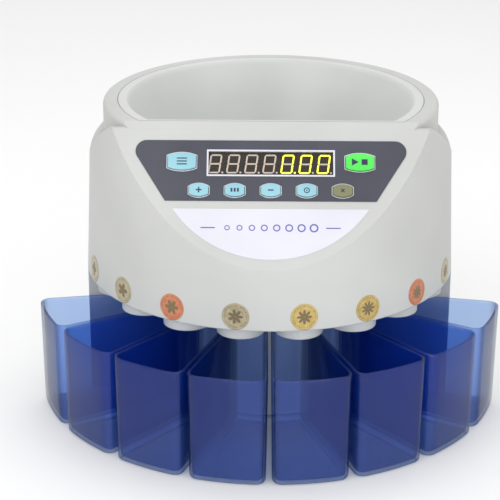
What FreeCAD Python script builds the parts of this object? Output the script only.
"""Coin sorting machine: a round countertop sorter with eight pull-out coin bins.

Frame: millimetres, +Z up, origin on the table under the sorting disc's axis, the control
console and the bins face -Y, +X is to the right of a person who stands in front of it.
Angles round the machine are counted from the front (-Y) towards the right (+X).
"""
import FreeCAD, Part
import math
import os
import Sketcher

Vector = FreeCAD.Vector

DIMENSIONS = {
    # housing
    "housing_radius_low": 139.5,
    "housing_radius_high": 135.8,
    "housing_low_z": 101.4,
    "shoulder_low_z": 187.0,
    "shoulder_high_z": 206.0,
    "ring_radius": 124.6,
    "rim_z": 231.0,
    "rim_round": 3.0,
    "wall": 3.0,
    # hopper bowl
    "flange_radius": 113.5,
    "flange_thick": 3.0,
    "bowl_top_radius": 106.4,
    "bowl_low_radius": 62.0,
    "bowl_low_z": 158.0,
    "bowl_wall": 2.5,
    "chord_y": -63.8,
    "seat_gap": 0.3,
    # console
    "ridge_y": -73.0,
    "ridge_z": 228.0,
    "panel_slope": 51.8,
    "back_slope": 33.0,
    "cheek_y": -69.0,
    "skin": 0.4,
    "overlay_top_v": 8.9,
    "overlay_low_v": 53.8,
    "overlay_top_half": 101.4,
    "overlay_low_half": 73.7,
    "overlay_corner": 8.0,
    "label_top_v": 59.5,
    "label_low_v": 96.4,
    "label_half": 68.4,
    "window_top_v": 15.9,
    "window_low_v": 35.6,
    "window_half": 44.9,
    "bezel_width": 1.2,
    "big_key_width": 19.6,
    "big_key_height": 12.6,
    "big_key_x": 62.3,
    "big_key_v": 25.0,
    "small_key_width": 13.4,
    "small_key_height": 9.1,
    "small_key_pitch": 25.1,
    "small_key_v": 46.1,
    "key_bulge": 1.9,
    "key_proud": 1.4,
    "key_travel": 1.0,
    "key_gap": 0.35,
    "board_depth": 10.2,
    "board_thick": 1.6,
    "digit_width": 12.6,
    "digit_pitch": 12.7,
    "digit_height": 19.0,
    # sorting mechanism
    "disc_radius": 92.0,
    "disc_top_z": 147.0,
    "disc_thick": 3.5,
    "track_radius": 128.0,
    "first_opening": 7.6,
    "opening_step": 0.55,
    "track_gap": 0.5,
    "throat_gap": 3.5,
    "shaft_radius": 4.0,
    "shaft_fit": 0.03,
    "bearing_radius": 11.0,
    "bearing_width": 7.0,
    "hub_radius": 18.0,
    "deck_thick": 3.0,
    "pulley_radius": 30.0,
    "motor_pulley_radius": 9.0,
    "pulley_low_z": 86.0,
    "pulley_high_z": 94.0,
    "belt_thick": 1.2,
    "motor_y": 46.0,
    "motor_radius": 17.5,
    # chutes, spouts and coin stickers
    "spout_radius": 17.0,
    "spout_wall": 2.0,
    "spout_circle": 119.0,
    "spout_low_z": 93.0,
    "chute_radius": 15.5,
    "chute_circle": 117.0,
    "sticker_radius": 9.7,
    "sticker_z": 111.6,
    "sticker_thick": 0.3,
    # bins
    "bin_pitch": 19.85,
    "bin_outer_radius": 177.5,
    "bin_inner_radius": 77.0,
    "bin_top_z": 81.0,
    "bin_side_gap": 1.1,
    "bin_draft": 0.9,
    "bin_wall": 2.2,
    "bin_floor": 2.5,
    "bin_outer_corner": 8.0,
    "bin_inner_corner": 5.0,
    "bin_low_round": 3.0,
    # base
    "column_radius": 72.0,
    "base_low_z": 3.0,
    "base_thick": 3.0,
    "shell_low_z": 1.0,
    "opening_angle": 80.8,
    "foot_radius": 9.0,
    # rear connector box
    "rear_y": 152.5,
    "rear_half_width": 48.0,
    "rear_low_z": 22.0,
    "rear_high_z": 78.0,
}

document = FreeCAD.newDocument("CoinSorter")
sheet = document.addObject("Spreadsheet::Sheet", "Sizes")
for row, (alias, number) in enumerate(DIMENSIONS.items(), start=1):
    sheet.set(f"A{row}", alias)
    sheet.set(f"B{row}", str(number))
    sheet.setAlias(f"B{row}", alias)
document.recompute()


class Size:
    """A number together with the sheet expression that gives it."""

    def __init__(self, value, text):
        self.value = value
        self.text = text

    def __add__(self, other):
        other = size(other)
        return Size(self.value + other.value, f"({self.text} + {other.text})")

    def __sub__(self, other):
        other = size(other)
        return Size(self.value - other.value, f"({self.text} - {other.text})")

    def __mul__(self, other):
        other = size(other)
        return Size(self.value * other.value, f"({self.text} * {other.text})")

    def __truediv__(self, other):
        other = size(other)
        return Size(self.value / other.value, f"({self.text} / {other.text})")

    def __neg__(self):
        return Size(-self.value, f"(0 - {self.text})")

    def __radd__(self, other):
        return size(other) + self

    def __rsub__(self, other):
        return size(other) - self


def size(item):
    """The Size for a sheet alias, a plain number or a Size."""
    if isinstance(item, Size):
        return item
    if isinstance(item, str):
        return Size(float(sheet.get(item)), f"Sizes.{item}")
    return Size(float(item), f"({float(item)})")


def cosine(angle):
    return Size(math.cos(math.radians(angle.value)), f"cos({angle.text} * 1 deg)")


def sine(angle):
    return Size(math.sin(math.radians(angle.value)), f"sin({angle.text} * 1 deg)")


def tangent(angle):
    return Size(math.tan(math.radians(angle.value)), f"tan({angle.text} * 1 deg)")


def bind(item, name, amount):
    """Set a property to a Size and keep it bound to the sheet."""
    item.setExpression(name, amount.text)


def place(item, x=0, y=0, z=0, axis=None, turn=0):
    """Place an object; the position is bound to the sheet."""
    if axis is not None:
        item.Placement = FreeCAD.Placement(Vector(), FreeCAD.Rotation(axis, size(turn).value))
    for name, amount in (("x", x), ("y", y), ("z", z)):
        bind(item, f".Placement.Base.{name}", size(amount))
    return item


def make(kind, label, **properties):
    """Add a document object; Size values are bound, the others are set."""
    item = document.addObject(kind, label)
    item.Label = label
    for name, amount in properties.items():
        if isinstance(amount, Size):
            bind(item, name, amount)
        else:
            setattr(item, name, amount)
    return item


def cylinder(label, radius, low, high, x=0, y=0, axis=None, turn=0):
    item = make("Part::Cylinder", label, Radius=size(radius), Height=size(high) - size(low))
    return place(item, x, y, low, axis, turn)


def cone(label, low_radius, high_radius, low, high):
    item = make("Part::Cone", label, Radius1=size(low_radius), Radius2=size(high_radius))
    bind(item, "Height", size(high) - size(low))
    return place(item, 0, 0, low)


def box(label, x, y, z):
    """A box from (low, high) pairs along X, Y and Z."""
    spans = [(size(low), size(high)) for low, high in (x, y, z)]
    lengths = [high - low for low, high in spans]
    item = make("Part::Box", label, Length=lengths[0], Width=lengths[1], Height=lengths[2])
    return place(item, *[low for low, high in spans])


def turned_box(label, centre, angle, along, across, z):
    """A box turned about Z; along and across are (low, high) pairs from the centre."""
    angle = size(angle)
    (a0, a1), (c0, c1), (low, high) = [[size(end) for end in pair] for pair in (along, across, z)]
    item = make("Part::Box", label, Length=a1 - a0, Width=c1 - c0, Height=high - low)
    x = size(centre[0]) + a0 * cosine(angle) - c0 * sine(angle)
    y = size(centre[1]) + a0 * sine(angle) + c0 * cosine(angle)
    return place(item, x, y, low, Vector(0, 0, 1), angle)


def cut(label, base, tool):
    return make("Part::Cut", label, Base=base, Tool=tool)


def fuse(label, *shapes):
    return make("Part::MultiFuse", label, Shapes=list(shapes))


def common(label, *shapes):
    return make("Part::MultiCommon", label, Shapes=list(shapes))


def group(label, shapes):
    return make("Part::Compound", label, Links=list(shapes))


def polygon(label, corners, upright=False):
    """A closed sketch of straight lines whose corners are bound to the sheet."""
    sketch = make("Sketcher::SketchObject", label)
    if upright:
        sketch.Placement = FreeCAD.Placement(Vector(), FreeCAD.Rotation(Vector(1, 0, 0), 90))
    points = [(size(first), size(second)) for first, second in corners]
    flat = [Vector(first.value, second.value, 0) for first, second in points]
    count = len(points)
    for index in range(count):
        sketch.addGeometry(Part.LineSegment(flat[index], flat[(index + 1) % count]), False)
    for index in range(count):
        following = (index + 1) % count
        sketch.addConstraint(Sketcher.Constraint("Coincident", index, 2, following, 1))
    for index, pair in enumerate(points):
        for kind, amount in zip(("DistanceX", "DistanceY"), pair):
            if abs(amount.value) < 1e-9:
                on_axis = -2 if kind == "DistanceX" else -1
                sketch.addConstraint(Sketcher.Constraint("PointOnObject", index, 1, on_axis))
            else:
                rule = Sketcher.Constraint(kind, -1, 1, index, 1, amount.value)
                number = sketch.addConstraint(rule)
                sketch.setExpression(f"Constraints[{number}]", amount.text)
    return sketch


def revolve(label, corners, degrees=360.0):
    """Turn a closed (radius, z) outline round the machine's axis."""
    outline = polygon(label + "_outline", corners, upright=True)
    item = make("Part::Revolution", label, Source=outline, Axis=Vector(0, 0, 1), Angle=degrees, Solid=True)
    return item


def extrude(label, corners, low, high):
    """A flat outline in X and Y, raised from low to high."""
    outline = polygon(label + "_outline", corners)
    item = make("Part::Extrusion", label, Base=outline, DirMode="Custom", Dir=Vector(0, 0, 1), Solid=True)
    bind(item, "LengthFwd", size(high) - size(low))
    bind(outline, ".Placement.Base.z", size(low))
    return item


def side_prism(label, corners, half_width):
    """An outline in (y, z), stretched to both sides along X."""
    outline = polygon(label + "_outline", corners)
    turn = FreeCAD.Rotation(Vector(1, 1, 1), 120)
    outline.Placement = FreeCAD.Placement(Vector(), turn)
    item = make("Part::Extrusion", label, Base=outline, DirMode="Custom", Dir=Vector(1, 0, 0), Solid=True)
    bind(item, "LengthFwd", size(half_width))
    bind(item, "LengthRev", size(half_width))
    return item


nodes = []


def node(item):
    nodes.append(item)
    return item


def tube(label, outer, inner, low, high, x=0, y=0):
    solid = cylinder(label + "_solid", outer, low, high, x, y)
    bore = cylinder(label + "_bore", inner, size(low) - 1, size(high) + 1, x, y)
    return cut(label, solid, bore)


def round_angle(index):
    """Angle of bin number index, 1 at the left to 8 at the right."""
    return size("bin_pitch") * (index - 4.5)


def round_point(radius, angle):
    return size(radius) * sine(angle), -(size(radius) * cosine(angle))


BIN_NUMBERS = range(1, 9)
UP = Vector(0, 0, 1)
ACROSS = Vector(1, 0, 0)
slope = size("panel_slope")
wall = size("wall")


def panel_place(item, u, v, w=0):
    """Place an object on the console: u to the right, v down the slope, w out of the face."""
    u, v, w = size(u), size(v), size(w)
    y = size("ridge_y") - v * cosine(slope) - w * sine(slope)
    z = size("ridge_z") - v * sine(slope) + w * cosine(slope)
    return place(item, u, y, z, ACROSS, slope)


def panel_box(label, u, v, w):
    """A box on the console from (low, high) pairs along u, v and w."""
    (u0, u1), (v0, v1), (w0, w1) = [[size(end) for end in pair] for pair in (u, v, w)]
    item = make("Part::Box", label, Length=u1 - u0, Width=v1 - v0, Height=w1 - w0)
    return panel_place(item, u0, v1, w0)


def panel_cylinder(label, radius, u, v, w):
    w0, w1 = [size(end) for end in w]
    item = make("Part::Cylinder", label, Radius=size(radius), Height=w1 - w0)
    return panel_place(item, u, v, w0)


def panel_prism(label, corners, w):
    """An outline in (u, v) on the console, raised between two w levels."""
    w0, w1 = [size(end) for end in w]
    outline = polygon(label + "_outline", [(u, -size(v)) for u, v in corners])
    panel_place(outline, 0, 0, w0)
    item = make("Part::Extrusion", label, Base=outline, DirMode="Normal", Solid=True)
    bind(item, "LengthFwd", w1 - w0)
    return item


# ---------------------------------------------------------------- base

def build_base():
    low, high = size("base_low_z"), size("base_low_z") + size("base_thick")
    angle = size("opening_angle")
    inner = size("housing_radius_low") - wall - size("seat_gap")
    far = inner * 1.6
    # the rear half of the plate starts just behind the shell's end walls
    start = (wall + size("seat_gap")) / sine(angle)
    front = far * cosine(angle) - start
    side = far * sine(angle)
    disc = cylinder("base_disc", "column_radius", low, high)
    round_plate = cylinder("base_round", inner, low, high)
    rear_zone = extrude("base_rear_zone", [(0, start), (side, -front), (side, far), (-side, far), (-side, -front)],
                        low, high)
    rear = common("base_rear", round_plate, rear_zone)
    plate = fuse("base_solid", disc, rear)
    screw_holes = [cylinder(f"base_hole_{number}", 1.8, low - 1, high + 1, x, y)
                   for number, (x, y) in enumerate(SCREW_PLACES)]
    node(cut("base_plate", plate, group("base_holes", screw_holes)))
    feet = [cylinder(f"foot_{number}", "foot_radius", 0, low, x, y)
            for number, (x, y) in enumerate(FOOT_PLACES)]
    node(group("rubber_feet", feet))
    screws = []
    for number, (x, y) in enumerate(SCREW_PLACES):
        head = cylinder(f"screw_head_{number}", 3.0, low - 1.8, low, x, y)
        shank = cylinder(f"screw_shank_{number}", 1.5, low - 0.5, high + 9, x, y)
        screws.append(fuse(f"screw_{number}", head, shank))
    node(group("base_screws", screws))


FOOT_PLACES = [(0, 0), (-44, -44), (44, -44), (-88, 86), (88, 86)]
SCREW_PLACES = [(-112, 8), (112, 8), (-52, 115), (52, 115)]


def build_rear_shell():
    """The rear half of the drum with its two end walls, open to the bins at the front."""
    low, high = size("shell_low_z"), size("housing_low_z") - 0.4
    outer = size("housing_radius_low")
    angle = size("opening_angle")
    far = outer * 1.6
    column = size("column_radius") + size("seat_gap")

    def sector(label, turn_in, radius, bottom, top):
        side, front = far * sine(angle), far * cosine(angle)
        # the end walls are moved back by turn_in, square to their own faces
        corner_y = turn_in / sine(angle)
        zone = extrude(label + "_zone",
                       [(0, corner_y), (side, corner_y - front), (side, far), (-side, far),
                        (-side, corner_y - front)], bottom, top)
        drum = cylinder(label + "_drum", radius, bottom, top)
        return common(label, drum, zone)

    solid = sector("shell_outer", size(0), outer, low, high)
    hollow = sector("shell_inner", wall, outer - wall, low - 1, high + 1)
    column_space = cylinder("shell_column_space", column, low - 1, high + 1)
    front_space = box("shell_front_space", (-outer, outer), (-outer, -1.0), (low - 1, high + 1))
    middle = common("shell_middle_front", cylinder("shell_middle", size("column_radius") + 6, low - 1, high + 1),
                    front_space)
    window = box("shell_window", (-(size("rear_half_width") - 4), size("rear_half_width") - 4),
                 (100, 160), (size("rear_low_z") + 4, size("rear_high_z") - 4))
    bosses = [tube(f"shell_boss_{number}", 4.5, 1.6, size("base_low_z") + size("base_thick"), 26, x, y)
              for number, (x, y) in enumerate(SCREW_PLACES)]
    webs = []
    for number, (x, y) in enumerate(SCREW_PLACES):
        reach = math.hypot(x, y)
        angle_now = math.degrees(math.atan2(y, x))
        webs.append(turned_box(f"shell_web_{number}", (x, y), angle_now, (4.0, outer - wall + 0.5 - reach),
                               (-1.0, 1.0), (8, 24)))
    skin = cut("shell_skin", solid, fuse("shell_spaces", hollow, column_space, middle, window))
    node(fuse("rear_shell", skin, *bosses, *webs))


def build_column():
    low = size("base_low_z") + size("base_thick")
    high = size("housing_low_z")
    outer = size("column_radius")
    inner = outer - wall
    ledge = size("pulley_low_z") - 10
    node(revolve("centre_column", [
        (inner, low), (outer, low), (outer, high), (inner, high), (inner, ledge + 6),
        (inner - 5, ledge + 6), (inner - 5, ledge), (inner, ledge - 5)]))


# ---------------------------------------------------------------- drive

def build_deck():
    """The deck closes the housing from below and carries the eight coin spouts."""
    low = size("housing_low_z")
    high = low + size("deck_thick")
    outer = size("housing_radius_low") - wall - size("seat_gap") - 0.4
    hub_top = size("disc_top_z") - size("disc_thick") - 5
    hub = size("hub_radius")
    seat = size("bearing_radius")
    bore = seat - 2
    width = size("bearing_width")
    plate = revolve("deck_plate", [
        (seat, low), (outer, low), (outer, high), (hub, high), (hub, hub_top), (seat, hub_top),
        (seat, hub_top - width), (bore, hub_top - width), (bore, low + width), (seat, low + width)])
    outsides, insides = [], []
    for number in BIN_NUMBERS:
        x, y = round_point("spout_circle", round_angle(number))
        outsides.append(cylinder(f"spout_outside_{number}", "spout_radius", "spout_low_z", high, x, y))
        insides.append(cylinder(f"spout_inside_{number}", size("spout_radius") - size("spout_wall"),
                                size("spout_low_z") - 1, high + 1, x, y))
    whole = fuse("deck_solid", plate, *outsides)
    node(cut("spout_deck", whole, group("spout_holes", insides)))
    chutes = []
    sensors = []
    for number in BIN_NUMBERS:
        angle = round_angle(number)
        x, y = round_point("chute_circle", angle)
        radius = size("chute_radius")
        chutes.append(tube(f"chute_{number}", radius, radius - 1.5, high, track_low(), x, y))
        sensor_centre = round_point(size("chute_circle") - radius - 4.2, angle)
        sensors.append(turned_box(f"sensor_{number}", sensor_centre, angle, (-4, 4), (-4, 4), (118, 130)))
    node(group("coin_chutes", chutes))
    node(group("coin_sensors", sensors))
    lower = tube("lower_bearing", seat, size("shaft_radius") + size("shaft_fit"), low, low + width)
    upper = tube("upper_bearing", seat, size("shaft_radius") + size("shaft_fit"), hub_top - width, hub_top)
    node(lower)
    node(upper)


def track_low():
    return size("disc_top_z") - size("disc_thick")


def build_track():
    """The fixed ring round the disc: its eight openings grow from left to right."""
    top = size("disc_top_z")
    low = track_low()
    inner = size("disc_radius") + size("track_gap")
    outer = size("track_radius")
    ring = revolve("track_plate", [(inner, low), (outer, low), (outer, top), (inner, top)])
    openings = []
    for number in BIN_NUMBERS:
        radius = size("first_opening") + size("opening_step") * number
        x, y = round_point(outer - 3 - radius, round_angle(number))
        openings.append(cylinder(f"track_opening_{number}", radius, low - 1, top + 1, x, y))
    node(cut("sorting_track", ring, group("track_openings", openings)))
    guide = revolve("track_ring", [
        (outer - 2.5, top), (outer, top), (outer, top + 6), (outer - 2.5, top + 6)])
    node(guide)


def build_rotor():
    """Disc, cap, shaft and large pulley turn together about the machine's axis."""
    top = size("disc_top_z")
    low = track_low()
    radius = size("disc_radius")
    shaft = size("shaft_radius")
    node(revolve("sorting_disc", [
        (shaft, low - 3), (14, low - 3), (14, low), (radius, low), (radius, top - 0.6),
        (radius - 0.6, top), (shaft, top)]))
    cap = [(0, top), (15, top), (15, top + 1.5)]
    for step in range(1, 7):
        turn = math.radians(15 * step)
        cap.append((15 * math.cos(turn) if step < 6 else 0, top + 1.5 + 6.5 * math.sin(turn)))
    node(revolve("disc_cap", cap))
    node(cylinder("drive_shaft", shaft, size("pulley_low_z") - 2, top))
    node(build_pulley("disc_pulley", "pulley_radius", shaft, 0))
    motor_pulley = build_pulley("motor_pulley_rim", "motor_pulley_radius", 1.5, "motor_y")
    spindle = cylinder("motor_spindle", 1.5, size("pulley_low_z") - 12, size("pulley_high_z") + 1, 0, "motor_y")
    node(fuse("motor_pulley", motor_pulley, spindle))


def build_pulley(label, radius, bore, y):
    """A flat belt pulley with two low flanges."""
    low, high = size("pulley_low_z"), size("pulley_high_z")
    radius, bore = size(radius), size(bore)
    profile = [(bore, low), (radius + 1.6, low), (radius + 1.6, low + 1), (radius, low + 1),
               (radius, high - 1), (radius + 1.6, high - 1), (radius + 1.6, high), (bore, high)]
    pulley = revolve(label, profile)
    return place(pulley, 0, y, 0)


def build_drive():
    low, high = size("pulley_low_z"), size("pulley_high_z")
    gap = size(0.3)
    thick = size("belt_thick")
    big, small = size("pulley_radius"), size("motor_pulley_radius")
    distance = size("motor_y")
    band = (low + 1.3, high - 1.3)
    lean = (big.value - small.value) / distance.value
    along = math.sqrt(1 - lean * lean)

    def belt_loop(label, extra):
        """Both pulley circles and the strip between their two straight runs."""
        large = big + extra
        tiny = small + extra
        rounds = [cylinder(label + "_large", large, *band),
                  cylinder(label + "_small", tiny, *band, 0, distance)]
        run = extrude(label + "_run", [
            (large * along, large * lean), (tiny * along, distance + tiny * lean),
            (-(tiny * along), distance + tiny * lean), (-(large * along), large * lean)], *band)
        return fuse(label, run, *rounds)

    node(cut("drive_belt", belt_loop("belt_outer", gap + thick), belt_loop("belt_inner", gap)))
    motor_top = low - 6.5
    body = revolve("motor_can", [
        (0, motor_top - 46), (size("motor_radius") - 1.5, motor_top - 46),
        (size("motor_radius"), motor_top - 44.5), (size("motor_radius"), motor_top), (3.5, motor_top),
        (3.5, motor_top + 2.2), (2.0, motor_top + 2.2), (2.0, motor_top - 6), (0, motor_top - 6)])
    place(body, 0, distance, 0)
    node(body)
    body.Label = "drive_motor"
    plate = cylinder("bracket_plate", size("column_radius") - wall - size("seat_gap"),
                     size("pulley_low_z") - 4, size("pulley_low_z") - 2)
    boss_hole = cylinder("bracket_boss_hole", 4.5, size("pulley_low_z") - 6, size("pulley_low_z"), 0, distance)
    shaft_hole = cylinder("bracket_shaft_hole", 7, size("pulley_low_z") - 6, size("pulley_low_z"))
    node(cut("motor_bracket", plate, group("bracket_holes", [boss_hole, shaft_hole])))


# ---------------------------------------------------------------- housing

def housing_profile(inset):
    """Outer (inset 0) or inner outline of the drum, the shoulder and the hopper ring."""
    low_radius = size("housing_radius_low") - inset
    high_radius = size("housing_radius_high") - inset
    low = size("housing_low_z")
    start = size("shoulder_low_z") - inset * 0.4
    end = size("shoulder_high_z") - inset * 0.4
    ring = size("ring_radius") - inset
    points = [(low_radius, low), (high_radius, start)]
    steps = 6
    for step in range(1, steps + 1):
        turn = math.radians(90.0 * step / steps)
        radius = ring + (high_radius - ring) * math.cos(turn)
        points.append((radius, start + (end - start) * math.sin(turn)))
    return points


def console_lines(inset):
    """Corners (y, z) of the console's side view, moved inwards by inset."""
    back = size("back_slope")
    ridge_y, ridge_z = size("ridge_y"), size("ridge_z")
    front_shift = inset / sine(slope)
    foot_drop = size("ridge_z") - size("housing_low_z") + 5
    low_y = ridge_y - foot_drop / tangent(slope)
    top_z = ridge_z - inset
    cheek_y = size("cheek_y")
    rear_run = size(70)
    return [
        (low_y + front_shift, ridge_z - foot_drop),
        (ridge_y + front_shift - inset / tangent(slope), top_z),
        (cheek_y, top_z),
        (cheek_y + rear_run, top_z - rear_run * tangent(back)),
        (cheek_y + rear_run, ridge_z - foot_drop),
    ]


def build_housing():
    low, rim = size("housing_low_z"), size("rim_z")
    ring = size("ring_radius")
    rounding = size("rim_round")
    seat = size("flange_radius") + size("seat_gap")
    outer_points = housing_profile(size(0))
    rim_arc = []
    for step in range(0, 5):
        turn = math.radians(22.5 * step)
        rim_arc.append((ring - rounding + rounding * math.cos(turn), rim - rounding + rounding * math.sin(turn)))
    drum_points = [(0, low)] + outer_points + rim_arc + [(0, rim)]
    drum = revolve("housing_drum", drum_points)
    # everything in front of the sloping face and of the ridge's bevel is taken away
    high = rim + 40
    keep_corners = console_lines(size(0))
    (foot_y, foot_z), (ridge_y, ridge_z) = keep_corners[0], keep_corners[1]
    chord = size("chord_y")
    keep = side_prism("housing_keep", [
        (foot_y, foot_z), (ridge_y, ridge_z), (chord, rim), (chord, high), (200, high), (200, foot_z)], 200)
    trimmed = common("housing_trimmed", drum, keep)
    draft = (size("housing_radius_low") - size("housing_radius_high")) / (size("shoulder_low_z") - low)
    block_radius = size("housing_radius_low") - draft * (rim - low)
    block_drum = cone("console_drum", "housing_radius_low", block_radius, low, rim)
    block = common("console_block", block_drum, side_prism("console_side", keep_corners, 200))
    outside = fuse("housing_outside", trimmed, block)

    inner_points = housing_profile(wall)
    ledge_z = rim - size("flange_thick")
    room_points = ([(0, low - 1), (size("housing_radius_low") - wall, low - 1)] + inner_points
                   + [(ring - wall, ledge_z - 4), (0, ledge_z - 4)])
    room = revolve("housing_room", room_points)
    inner_corners = console_lines(wall)
    (in_foot_y, in_foot_z), (in_ridge_y, in_ridge_z) = inner_corners[0], inner_corners[1]
    room_keep = side_prism("room_keep", [
        (in_foot_y - 2 / math.tan(math.radians(slope.value)), in_foot_z - 2), (in_ridge_y, in_ridge_z), (200, in_ridge_z),
        (200, in_foot_z - 2)], 199)
    room_trimmed = common("room_trimmed", room, room_keep)
    room_block_drum = cone("room_block_drum", size("housing_radius_low") - wall + draft,
                           block_radius - wall, low - 1, rim)
    room_block = common("room_block", room_block_drum, side_prism("room_side", inner_corners, 199))
    mouth = cylinder("housing_mouth", seat, ledge_z - size("seat_gap"), high)
    throat = cylinder("housing_throat", seat - 4, ledge_z - 12, high)
    mouth_zone = box("mouth_zone", (-180, 180), (chord, 180), (ledge_z - 14, high + 2))
    mouth_cut = common("mouth_cut", fuse("mouth_round", mouth, throat), mouth_zone)
    hollow = fuse("housing_hollow", room_trimmed, room_block, mouth_cut)
    shell = cut("housing_shell", outside, hollow)

    cutters = [panel_box("window_cut", (-(size("window_half") + 0.8), size("window_half") + 0.8),
                         (size("window_top_v") - 0.8, size("window_low_v") + 0.8), (-6, 2))]
    for label, width, height, u, v in key_list():
        gap = size("key_gap")
        cutters.append(panel_box(f"{label}_cut", (u - width / 2 - gap, u + width / 2 + gap),
                                 (v - height / 2 - gap, v + height / 2 + gap), (-6, 2)))
    node(cut("upper_housing", shell, group("console_cuts", cutters)))


def build_hopper():
    """The bowl: a cone cut by a flat wall behind the console, hung by its flange."""
    rim = size("rim_z")
    flange = size("flange_radius")
    thick = size("flange_thick")
    bowl_wall = size("bowl_wall")
    top, low = size("bowl_top_radius"), size("bowl_low_radius")
    low_z = size("bowl_low_z")
    throat_z = size("disc_top_z") + size("throat_gap")
    chord = size("chord_y") + size("seat_gap")
    solid = revolve("hopper_solid", [
        (0, throat_z), (low + bowl_wall, throat_z), (low + bowl_wall, low_z),
        (top + bowl_wall, rim - thick), (flange, rim - thick), (flange, rim), (0, rim)])
    hollow = revolve("hopper_hollow", [
        (0, throat_z - 1), (low, throat_z - 1), (low, low_z), (top - 1.2, rim - 2.0), (top, rim - 0.6),
        (top + 0.6, rim), (top + 0.6, rim + 1), (0, rim + 1)])
    outer_zone = box("hopper_outer_zone", (-180, 180), (chord, 180), (throat_z - 3, rim + 3))
    inner_zone = box("hopper_inner_zone", (-180, 180), (chord + bowl_wall, 180), (throat_z - 5, rim + 5))
    bowl = common("hopper_bowl", solid, outer_zone)
    space = common("hopper_space", hollow, inner_zone)
    node(cut("hopper", bowl, space))


# ---------------------------------------------------------------- console

KEY_NAMES = {
    "report_key": ("big", -1), "start_stop_key": ("big", 1), "plus_key": ("small", -2),
    "batch_key": ("small", -1), "minus_key": ("small", 0), "set_key": ("small", 1), "clear_key": ("small", 2),
}


def key_list():
    """Name, width, height and place of each key."""
    keys = []
    for name, (kind, place_number) in KEY_NAMES.items():
        width, height = size(kind + "_key_width"), size(kind + "_key_height")
        if kind == "big":
            keys.append((name, width, height, size("big_key_x") * place_number, size("big_key_v")))
        else:
            keys.append((name, width, height, size("small_key_pitch") * place_number, size("small_key_v")))
    return keys


def build_console():
    skin = size("skin")
    overlay = panel_prism("overlay_blank", [
        (-size("overlay_top_half"), "overlay_top_v"), (-size("overlay_low_half"), "overlay_low_v"),
        ("overlay_low_half", "overlay_low_v"), ("overlay_top_half", "overlay_top_v")], (0, skin))
    document.recompute()
    corner_edges = [number for number, edge in enumerate(overlay.Shape.Edges, start=1)
                    if abs(edge.Length - skin.value) < 1e-3 and edge.CenterOfMass.z > size("ridge_z").value - 20]
    rounded = make("Part::Fillet", "overlay_rounded", Base=overlay)
    corner = size("overlay_corner").value
    rounded.Edges = [(number, corner, corner) for number in corner_edges]
    half = size("window_half")
    holes = [panel_box("overlay_window", (-half, half), ("window_top_v", "window_low_v"), (-1, 2))]
    gap = size("key_gap")
    for label, width, height, u, v in key_list():
        holes.append(barrel(f"{label}_window", width + gap * 2, height + gap * 2, u, v, (-1, 2)))
    node(cut("keypad_overlay", rounded, group("overlay_holes", holes)))

    edge = size("bezel_width")
    outer = panel_box("bezel_outer", (-half, half), ("window_top_v", "window_low_v"), (-1.2, skin + 0.35))
    inner = panel_box("bezel_inner", (-(half - edge), half - edge),
                      (size("window_top_v") + edge, size("window_low_v") - edge), (-4, 4))
    node(cut("window_bezel", outer, inner))
    node(panel_box("display_window", (-(half - edge), half - edge),
                   (size("window_top_v") + edge, size("window_low_v") - edge), (-1.2, skin)))

    width, height = size("label_half") * 2, size("label_low_v") - size("label_top_v")
    # the arc through the two top corners and the lowest point
    radius = (size("label_half") * size("label_half") + height * height) / (height * 2)
    disc = panel_cylinder("label_disc", radius, 0, size("label_low_v") - radius, (0, skin - 0.1))
    strip = panel_box("label_strip", (-(width / 2) - 5, width / 2 + 5), ("label_top_v", size("label_low_v") + 5),
                      (-1, 2))
    node(common("name_label", disc, strip))

    depth = size("board_depth")
    node(panel_box("display_board", (-76, 76), (7, 57), (-depth - size("board_thick"), -depth)))
    middle = (size("window_top_v") + size("window_low_v")) / 2
    digits = []
    for number in range(7):
        u = size("digit_pitch") * (number - 3)
        half_width = size("digit_width") / 2
        digits.append(panel_box(f"digit_{number + 1}", (u - half_width, u + half_width),
                                (middle - size("digit_height") / 2, middle + size("digit_height") / 2),
                                (-depth, -1.6)))
    node(group("digit_modules", digits))
    switches = []
    for label, width, height, u, v in key_list():
        base = panel_box(f"{label}_switch_base", (u - 3, u + 3), (v - 3, v + 3), (-depth, -depth + 3.4))
        button = panel_cylinder(f"{label}_switch_button", 1.7, u, v,
                                (-depth + 3.4, -4.4 - size("key_travel") - 0.1))
        switches.append(fuse(f"{label}_switch", base, button))
    node(group("tact_switches", switches))
    for label, width, height, u, v in key_list():
        cap = barrel(f"{label}_cap", width, height, u, v, (-3.3, skin + size("key_proud")))
        flange = panel_box(f"{label}_flange", (u - width / 2 - 1, u + width / 2 + 1),
                           (v - height / 2 - 1, v + height / 2 + 1), (-4.4, -3.3))
        node(fuse(label, cap, flange))


def barrel(label, width, height, u, v, w):
    """A block with straight sides and gently bowed upper and lower edges."""
    bulge = size("key_bulge")
    radius = (width * width / 4 + bulge * bulge) / (bulge * 2)
    shift = radius - height / 2
    body = panel_box(label + "_body", (u - width / 2, u + width / 2), (v - height / 2, v + height / 2), w)
    above = panel_cylinder(label + "_above", radius, u, v + shift, w)
    below = panel_cylinder(label + "_below", radius, u, v - shift, w)
    return common(label, body, above, below)


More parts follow.
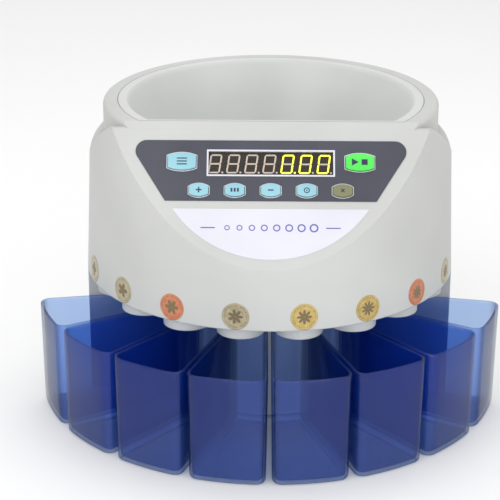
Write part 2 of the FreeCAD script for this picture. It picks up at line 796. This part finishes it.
def build_stickers():
    """Eight round coin stickers that follow the drum's drafted wall."""
    low, high = size("housing_low_z"), size("shoulder_low_z")
    thick = size("sticker_thick")
    outer = cone("sticker_outer", size("housing_radius_low") + thick, size("housing_radius_high") + thick, low, high)
    inner = cone("sticker_inner", "housing_radius_low", "housing_radius_high", low, high)
    skin = cut("sticker_skin", outer, inner)
    stickers = []
    for number in BIN_NUMBERS:
        angle = round_angle(number)
        x, y = round_point(100, angle)
        probe = make("Part::Cylinder", f"sticker_probe_{number}", Radius=size("sticker_radius"), Height=60.0)
        turn = FreeCAD.Rotation(UP, angle.value) * FreeCAD.Rotation(ACROSS, 90)
        probe.Placement = FreeCAD.Placement(Vector(), turn)
        place(probe, x, y, "sticker_z")
        stickers.append(common(f"sticker_{number}", skin, probe))
    node(group("coin_labels", stickers))


# ---------------------------------------------------------------- bins

def bin_solid(inset, low, high, corner_inset):
    """A drafted wedge between two round walls, with rounded upright and lower edges."""
    pitch = size("bin_pitch").value / 2
    top_z = size("bin_top_z").value
    direction = Vector(math.cos(math.radians(pitch)), math.sin(math.radians(pitch)), 0)
    normal = Vector(-direction.y, direction.x, 0)

    def ring(height):
        shrink = size("bin_draft").value * (1 - height / top_z) + inset
        offset = size("bin_side_gap").value + shrink
        outer = size("bin_outer_radius").value - shrink
        inner = size("bin_inner_radius").value + shrink

        def corner(radius):
            """Where the side line, offset from the pitch line, meets a round wall."""
            run = math.sqrt(radius * radius - offset * offset)
            return direction * run - normal * offset

        far, near = corner(outer), corner(inner)
        lift = Vector(0, 0, height)
        mirror = [Vector(point.x, -point.y, height) for point in (far, near)]
        edges = [
            Part.Arc(mirror[0], Vector(outer, 0, height), far + lift).toShape(),
            Part.LineSegment(far + lift, near + lift).toShape(),
            Part.Arc(near + lift, Vector(inner, 0, height), mirror[1]).toShape(),
            Part.LineSegment(mirror[1], mirror[0]).toShape(),
        ]
        return Part.Wire(edges)

    solid = Part.makeLoft([ring(low), ring(high)], True, True)
    middle = (size("bin_outer_radius").value + size("bin_inner_radius").value) / 2
    for outward, key in ((True, "bin_outer_corner"), (False, "bin_inner_corner")):
        upright = [edge for edge in solid.Edges if edge.BoundBox.ZLength > (high - low) * 0.9]
        if outward:
            edges = [edge for edge in upright if edge.CenterOfMass.x > middle]
        else:
            edges = [edge for edge in upright if edge.CenterOfMass.x < middle]
        solid = solid.makeFillet(size(key).value - corner_inset, edges)
    floor_edges = [edge for edge in solid.Edges if edge.BoundBox.ZMax < low + 0.01]
    return solid.makeFillet(size("bin_low_round").value - corner_inset * 0.5, floor_edges)


def build_bins():
    thickness = size("bin_wall").value
    top = size("bin_top_z").value
    outside = bin_solid(0.0, 0.0, top, 0.0)
    inside = bin_solid(thickness, size("bin_floor").value, top + 5.0, thickness)
    shape = outside.cut(inside)
    for number in BIN_NUMBERS:
        item = make("Part::Feature", f"bin_{number}")
        item.Shape = shape
        turn = FreeCAD.Rotation(UP, round_angle(number).value - 90)
        item.Placement = FreeCAD.Placement(Vector(), turn)
        node(item)


# ---------------------------------------------------------------- rear connectors

def build_rear():
    half, low, high = size("rear_half_width"), size("rear_low_z"), size("rear_high_z")
    rear = size("rear_y")
    solid = box("rear_solid", (-half, half), (120, rear), (low, high))
    hollow = box("rear_hollow", (-half + wall, half - wall), (100, rear - wall), (low + wall, high - wall))
    drum = cylinder("rear_drum", "housing_radius_low", low - 5, high + 5)
    holes = [
        box("inlet_hole", (-39.75, -12.25), (140, 160), (33, 53)),
        box("rocker_hole", (-5.6, 7.6), (140, 160), (33.4, 52.6)),
        box("serial_hole", (14.5, 36.5), (140, 160), (38, 48)),
    ]
    fuse_hole = cylinder("fuse_hole", 6.2, 0, 20)
    place(fuse_hole, -26, 140, 66, ACROSS, -90)
    holes.append(fuse_hole)
    node(cut("rear_panel", solid, fuse("rear_spaces", hollow, drum, *holes)))

    face = rear
    flange = box("inlet_flange", (-41.5, -10.5), (face, face + 2), (31, 55))
    body = box("inlet_body", (-39.5, -12.5), (face - 22, face), (33.2, 52.8))
    socket = box("inlet_socket", (-38, -14), (face - 14, face + 5), (35, 51))
    node(cut("iec_inlet", fuse("inlet_solid", flange, body), socket))
    pins = [box(f"inlet_pin_{number}", (x - 1, x + 1), (face - 14, face - 2), (z - 2, z + 2))
            for number, (x, z) in enumerate([(-33, 41.5), (-26, 45.5), (-19, 41.5)])]
    node(group("inlet_pins", pins))

    frame_outer = box("switch_flange", (-7, 9), (face, face + 1.8), (31.5, 54.5))
    frame_body = box("switch_body", (-5.4, 7.4), (face - 14, face), (33.6, 52.4))
    frame_hole = box("switch_hole", (-4.0, 6.0), (face - 9, face + 4), (35.2, 50.8))
    node(cut("switch_frame", fuse("switch_solid", frame_outer, frame_body), frame_hole))
    rocker = side_prism("power_rocker_blank", [
        (face - 5, 40), (face - 5, 46), (face + 0.6, 50.0), (face + 3.2, 50.0), (face + 1.4, 43),
        (face + 3.2, 36.0), (face + 0.6, 36.0)], 4.6)
    place(rocker, 1.0, 0, 0)
    rocker.Label = "power_rocker"
    node(rocker)

    holder = cylinder("fuse_barrel", 6.0, 0, 24)
    place(holder, -26, face - 22, 66, ACROSS, -90)
    cap = cylinder("fuse_cap", 8.0, 0, 5)
    place(cap, -26, face, 66, ACROSS, -90)
    slot = box("fuse_slot", (-32, -20), (face + 3.6, face + 6), (65.2, 66.8))
    node(cut("fuse_holder", fuse("fuse_solid", holder, cap), slot))

    plate = box("serial_plate", (10.1, 40.9), (face, face + 0.9), (36.8, 49.2))
    shell = box("serial_shell", (17, 34), (face, face + 6), (38.8, 47.2))
    shell_hole = box("serial_recess", (17.8, 33.2), (face + 1.2, face + 8), (39.6, 46.4))
    back = box("serial_back", (15, 36), (face - 10, face), (38.3, 47.7))
    node(cut("serial_port", fuse("serial_solid", plate, shell, back), shell_hole))


def build_electronics():
    floor = size("base_low_z") + size("base_thick")
    node(box("main_board", (-70, 30), (80, 109), (floor + 8, floor + 9.6)))
    posts = [cylinder(f"standoff_{number}", 3, floor, floor + 8, x, y)
             for number, (x, y) in enumerate([(-66, 84), (26, 84), (-66, 105), (26, 105)])]
    node(group("board_standoffs", posts))
    node(box("power_supply", (-50, 50), (78, 110), (floor + 42, floor + 76)))
    node(cylinder("buzzer", 6, floor + 9.6, floor + 18, 16, 100))
    shelf_posts = [box(f"shelf_leg_{number}", (x - 3, x + 3), (78, 110), (floor, floor + 40))
                   for number, x in enumerate([-74, 74])]
    shelf = box("shelf_plate", (-77, 77), (78, 110), (floor + 40, floor + 42))
    node(fuse("supply_bracket", shelf, *shelf_posts))


build_base()
build_rear_shell()
build_column()
build_deck()
build_track()
build_rotor()
build_drive()
build_housing()
build_hopper()
build_console()
build_stickers()
build_bins()
build_rear()
build_electronics()
document.recompute()

for item in document.Objects:
    if "Invalid" in item.State or "Error" in item.State:
        raise RuntimeError(f"{item.Label}: {item.State}")
for item in nodes:
    if item.Shape.isNull() or not item.Shape.isValid() or not item.Shape.Solids:
        raise RuntimeError(f"{item.Label}: bad shape")

os.makedirs("parts", exist_ok=True)
for item in nodes:
    item.Shape.exportStep(os.path.join("parts", item.Label + ".step"))
    print(item.Label, len(item.Shape.Solids), round(item.Shape.Volume, 1))
print(len(nodes), "nodes")
